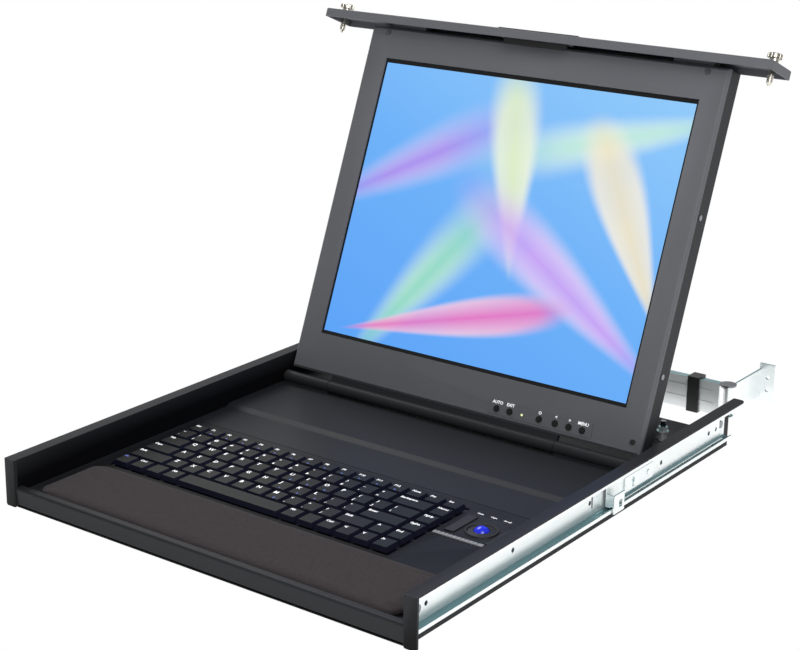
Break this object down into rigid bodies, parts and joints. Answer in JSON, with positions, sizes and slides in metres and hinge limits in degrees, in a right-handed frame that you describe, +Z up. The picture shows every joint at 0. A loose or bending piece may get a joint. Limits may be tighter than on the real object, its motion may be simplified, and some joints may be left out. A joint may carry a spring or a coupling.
{
  "type": "rackmount lcd console drawer",
  "caption": "Sliding rack drawer one unit high, with a keyboard, palm rest, trackball and a hinged lid that holds a flat screen.",
  "frame": {"origin": "on the plane under the tray, midway between its sides and midway along its length", "axes": "+X to the operator's right, +Y towards the rear of the rack, +Z up"},
  "size_m": [0.4826, 0.622, 0.3738],
  "materials": {
    "black_steel": "fine-texture black powder coat",
    "lid_paint": "fine-texture charcoal powder coat",
    "pull_plastic": "moulded black plastic",
    "keys": "satin moulded keys",
    "key_base": "black moulded base",
    "pad_cloth": "knitted cloth over foam",
    "ball_gloss": "polished ball",
    "pointer_plastic": "black moulded plastic",
    "strip_metal": "ribbed strip",
    "circuit_board": "glass-fibre board",
    "pin_steel": "turned steel",
    "zinc_steel": "bright zinc plated steel",
    "nickel": "nickel plated",
    "screen": null,
    "module_metal": "folded sheet",
    "label_film": "satin film",
    "button_plastic": "moulded caps",
    "bumper_rubber": "soft rubber",
    "clip_nylon": "black nylon"
  },
  "bodies": {
    "tray": {"deck_cover": "black_steel", "front_caps": "black_steel", "front_lip": "black_steel", "hinge_covers": "black_steel", "keyboard_base": "key_base", "keyboard_plate": "black_steel", "main_board": "circuit_board", "palm_rest": "pad_cloth", "pivot_nut": "zinc_steel", "pivot_post": "pin_steel", "pointer_board": "circuit_board", "rail_screws": "pin_steel", "ribbed_strip": "strip_metal", "slide_rail_left": "zinc_steel", "slide_rail_right": "zinc_steel", "trackball_cup": "pointer_plastic", "trackball_ring": "pointer_plastic", "tray_pan": "black_steel"},
    "lid": {"lid_barrel": "black_steel", "hinge_pins": "pin_steel", "lid_bezel": "lid_paint", "lid_back": "lid_paint", "screen_glass": "screen", "lcd_module": "module_metal", "lid_board": "circuit_board", "lid_screws": "pin_steel", "lid_bumper": "bumper_rubber", "osd_plate": "label_film", "osd_board": "circuit_board", "front_panel": "lid_paint"},
    "release_grip": {"release_grip": "pull_plastic"},
    "lid_catch": {"lid_catch": "pull_plastic"},
    "thumbscrew_left": {"thumbscrew_left": "nickel"},
    "thumbscrew_right": {"thumbscrew_right": "nickel"},
    "slide_left": {"inner_slide_left": "zinc_steel"},
    "slide_right": {"inner_slide_right": "zinc_steel"},
    "lever_left": {"release_lever_left": "zinc_steel"},
    "lever_right": {"release_lever_right": "zinc_steel"},
    "ball_cages": {"ball_cages": "zinc_steel"},
    "trackball": {"trackball": "ball_gloss"},
    "mouse_left": {"mouse_button_left": "pointer_plastic"},
    "mouse_right": {"mouse_button_right": "pointer_plastic"},
    "front_bar": {"arm_front_bar": "zinc_steel"},
    "rear_bar": {"arm_rear_bar": "zinc_steel", "arm_pins": "pin_steel", "cable_clips": "clip_nylon"},
    "rack_bracket": {"rack_bracket": "zinc_steel"},
    "osd_1": {"osd_button_1": "button_plastic"},
    "osd_2": {"osd_button_2": "button_plastic"},
    "osd_3": {"osd_button_3": "button_plastic"},
    "osd_4": {"osd_button_4": "button_plastic"},
    "osd_5": {"osd_button_5": "button_plastic"},
    "osd_6": {"osd_button_6": "button_plastic"},
    "row_function": {"keys_function": "keys"},
    "row_number": {"keys_number": "keys"},
    "row_upper": {"keys_upper": "keys"},
    "row_home": {"keys_home": "keys"},
    "row_lower": {"keys_lower": "keys"},
    "row_bottom": {"keys_bottom": "keys"},
    "space_key": {"space_bar": "keys"}
  },
  "joints": [
    {"name": "lid_hinge", "type": "hinge", "parent": "tray", "child": "lid", "pos_m": [0, 0.0965, 0.0227], "axis": [1, 0, 0], "range_deg": [-8, 111.8]},
    {"name": "grip_pull", "type": "slide", "parent": "lid", "child": "release_grip", "axis": [0, 0.9285, -0.3714], "range_m": [0, 0.003], "stiffness_N_per_m": 600, "springref_m": -0.001},
    {"name": "catch_slide", "type": "slide", "parent": "lid", "child": "lid_catch", "axis": [0, 0.3714, 0.9285], "range_m": [-0.0004, 0.0056]},
    {"name": "rack_screw_left", "type": "hinge", "parent": "lid", "child": "thumbscrew_left", "pos_m": [-0.2324, 0.23155, 0.36277], "axis": [0, -0.3714, -0.9285], "continuous": true},
    {"name": "rack_screw_right", "type": "hinge", "parent": "lid", "child": "thumbscrew_right", "pos_m": [0.2324, 0.23155, 0.36277], "axis": [0, -0.3714, -0.9285], "continuous": true},
    {"name": "osd_press_1", "type": "slide", "parent": "lid", "child": "osd_1", "axis": [0, 0.9285, -0.3714], "range_m": [0, 0.0005], "stiffness_N_per_m": 3000, "springref_m": -0.0003},
    {"name": "osd_press_2", "type": "slide", "parent": "lid", "child": "osd_2", "axis": [0, 0.9285, -0.3714], "range_m": [0, 0.0005], "stiffness_N_per_m": 3000, "springref_m": -0.0003},
    {"name": "osd_press_3", "type": "slide", "parent": "lid", "child": "osd_3", "axis": [0, 0.9285, -0.3714], "range_m": [0, 0.0005], "stiffness_N_per_m": 3000, "springref_m": -0.0003},
    {"name": "osd_press_4", "type": "slide", "parent": "lid", "child": "osd_4", "axis": [0, 0.9285, -0.3714], "range_m": [0, 0.0005], "stiffness_N_per_m": 3000, "springref_m": -0.0003},
    {"name": "osd_press_5", "type": "slide", "parent": "lid", "child": "osd_5", "axis": [0, 0.9285, -0.3714], "range_m": [0, 0.0005], "stiffness_N_per_m": 3000, "springref_m": -0.0003},
    {"name": "osd_press_6", "type": "slide", "parent": "lid", "child": "osd_6", "axis": [0, 0.9285, -0.3714], "range_m": [0, 0.0005], "stiffness_N_per_m": 3000, "springref_m": -0.0003},
    {"name": "slide_left_run", "type": "slide", "parent": "tray", "child": "slide_left", "axis": [0, -1, 0], "range_m": [0, 0.264]},
    {"name": "lever_left_lift", "type": "hinge", "parent": "slide_left", "child": "lever_left", "pos_m": [-0.209, 0.088, 0.0271], "axis": [-1, 0, 0], "range_deg": [0, 2.5], "stiffness_Nm_per_rad": 0.5, "springref_deg": -114.59},
    {"name": "slide_right_run", "type": "slide", "parent": "tray", "child": "slide_right", "axis": [0, -1, 0], "range_m": [0, 0.264]},
    {"name": "lever_right_lift", "type": "hinge", "parent": "slide_right", "child": "lever_right", "pos_m": [0.209, 0.088, 0.0271], "axis": [-1, 0, 0], "range_deg": [0, 2.5], "stiffness_Nm_per_rad": 0.5, "springref_deg": -114.59},
    {"name": "cages_run", "type": "slide", "parent": "tray", "child": "ball_cages", "axis": [0, -1, 0], "range_m": [0, 0.132]},
    {"name": "ball_roll", "type": "hinge", "parent": "tray", "child": "trackball", "pos_m": [0.1515, -0.0806, 0.011], "axis": [1, 0, 0], "continuous": true},
    {"name": "click_left", "type": "slide", "parent": "tray", "child": "mouse_left", "axis": [0, 0, -1], "range_m": [0, 0.0008], "stiffness_N_per_m": 1500, "springref_m": -0.0003},
    {"name": "click_right", "type": "slide", "parent": "tray", "child": "mouse_right", "axis": [0, 0, -1], "range_m": [0, 0.0008], "stiffness_N_per_m": 1500, "springref_m": -0.0003},
    {"name": "function_keys_press", "type": "slide", "parent": "tray", "child": "row_function", "axis": [0, 0, -1], "range_m": [0, 0.0018], "stiffness_N_per_m": 4000, "springref_m": -0.001},
    {"name": "number_keys_press", "type": "slide", "parent": "tray", "child": "row_number", "axis": [0, 0, -1], "range_m": [0, 0.0018], "stiffness_N_per_m": 4000, "springref_m": -0.001},
    {"name": "upper_keys_press", "type": "slide", "parent": "tray", "child": "row_upper", "axis": [0, 0, -1], "range_m": [0, 0.0018], "stiffness_N_per_m": 4000, "springref_m": -0.001},
    {"name": "home_keys_press", "type": "slide", "parent": "tray", "child": "row_home", "axis": [0, 0, -1], "range_m": [0, 0.0018], "stiffness_N_per_m": 4000, "springref_m": -0.001},
    {"name": "lower_keys_press", "type": "slide", "parent": "tray", "child": "row_lower", "axis": [0, 0, -1], "range_m": [0, 0.0018], "stiffness_N_per_m": 4000, "springref_m": -0.001},
    {"name": "bottom_keys_press", "type": "slide", "parent": "tray", "child": "row_bottom", "axis": [0, 0, -1], "range_m": [0, 0.0018], "stiffness_N_per_m": 4000, "springref_m": -0.001},
    {"name": "space_press", "type": "slide", "parent": "tray", "child": "space_key", "axis": [0, 0, -1], "range_m": [0, 0.0018], "stiffness_N_per_m": 300, "springref_m": -0.001},
    {"name": "arm_post_turn", "type": "hinge", "parent": "tray", "child": "front_bar", "pos_m": [0.172, 0.185, 0.022], "axis": [0, 0, 1], "range_deg": [-40, 0]},
    {"name": "arm_elbow_turn", "type": "hinge", "parent": "front_bar", "child": "rear_bar", "pos_m": [-0.165, 0.289, 0.022], "axis": [0, 0, 1], "range_deg": [0, 100]},
    {"name": "arm_wrist_turn", "type": "hinge", "parent": "rear_bar", "child": "rack_bracket", "pos_m": [0.184, 0.289, 0.022], "axis": [0, 0, 1], "range_deg": [-30, 30]}
  ],
  "couplings": [
    {"joint": "slide_left_run", "follows": "slide_right_run", "ratio": 1},
    {"joint": "cages_run", "follows": "slide_right_run", "ratio": 0.5},
    {"joint": "catch_slide", "follows": "lid_hinge", "m_per_rad": 0.0028187}
  ]
}
